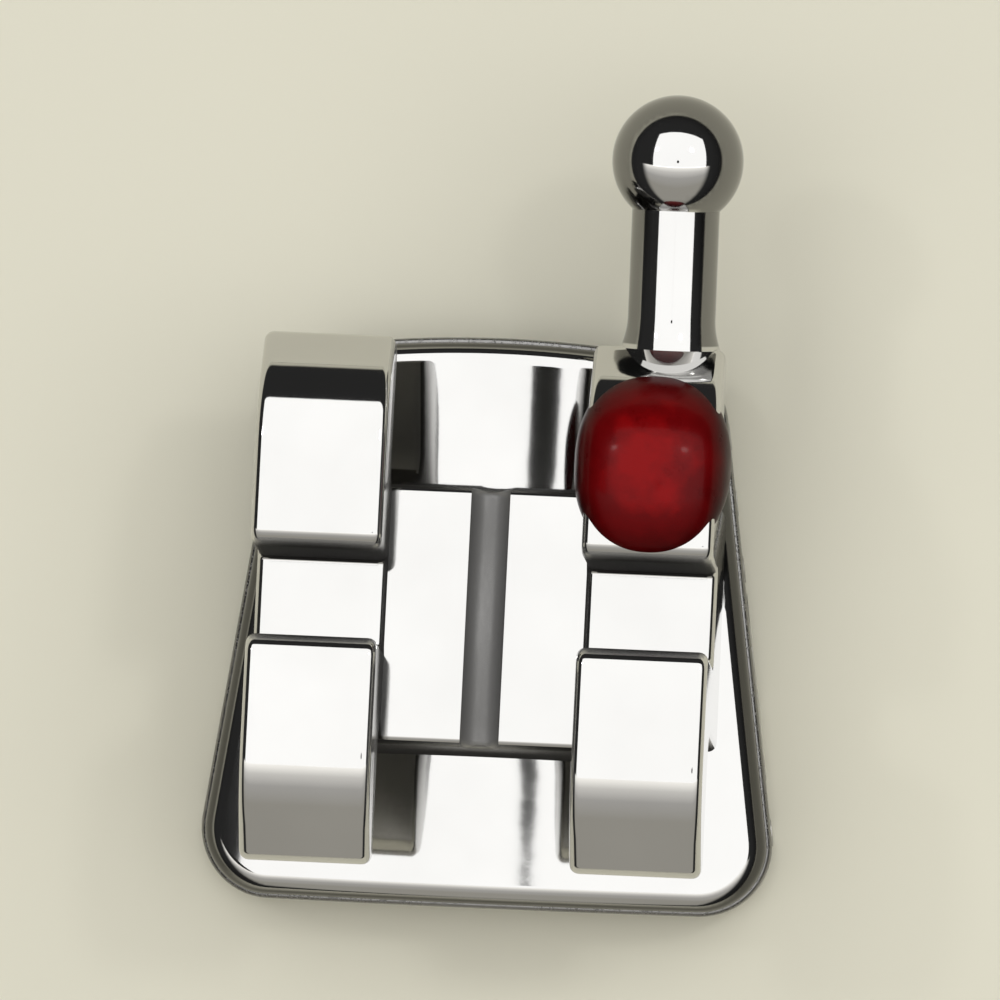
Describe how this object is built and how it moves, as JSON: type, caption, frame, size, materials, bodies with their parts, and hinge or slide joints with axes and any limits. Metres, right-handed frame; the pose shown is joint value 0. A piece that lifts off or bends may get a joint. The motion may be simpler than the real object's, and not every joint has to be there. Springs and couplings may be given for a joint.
{
  "type": "orthodontic bracket",
  "caption": "Twin tie-wing dental bracket with a tilted archwire slot, ball hook, curved pad with mesh backing and coloured enamel marker, bonded to a premolar to hold an archwire.",
  "frame": {"origin": "middle of the concave bonding surface, where the tooth touches the mesh", "axes": "+X distal along the archwire slot, +Y gingival towards the hook, +Z out from the tooth"},
  "size_m": [0.0036, 0.0053, 0.0022],
  "materials": {
    "polished_steel": "mirror polished",
    "steel_foil": "bright rolled",
    "steel_wire": "satin drawn",
    "red_enamel": "glossy"
  },
  "bodies": {
    "root": {"bracket_body": "polished_steel", "base_foil": "steel_foil", "bonding_mesh": "steel_wire", "id_dot": "red_enamel"}
  },
  "joints": []
}
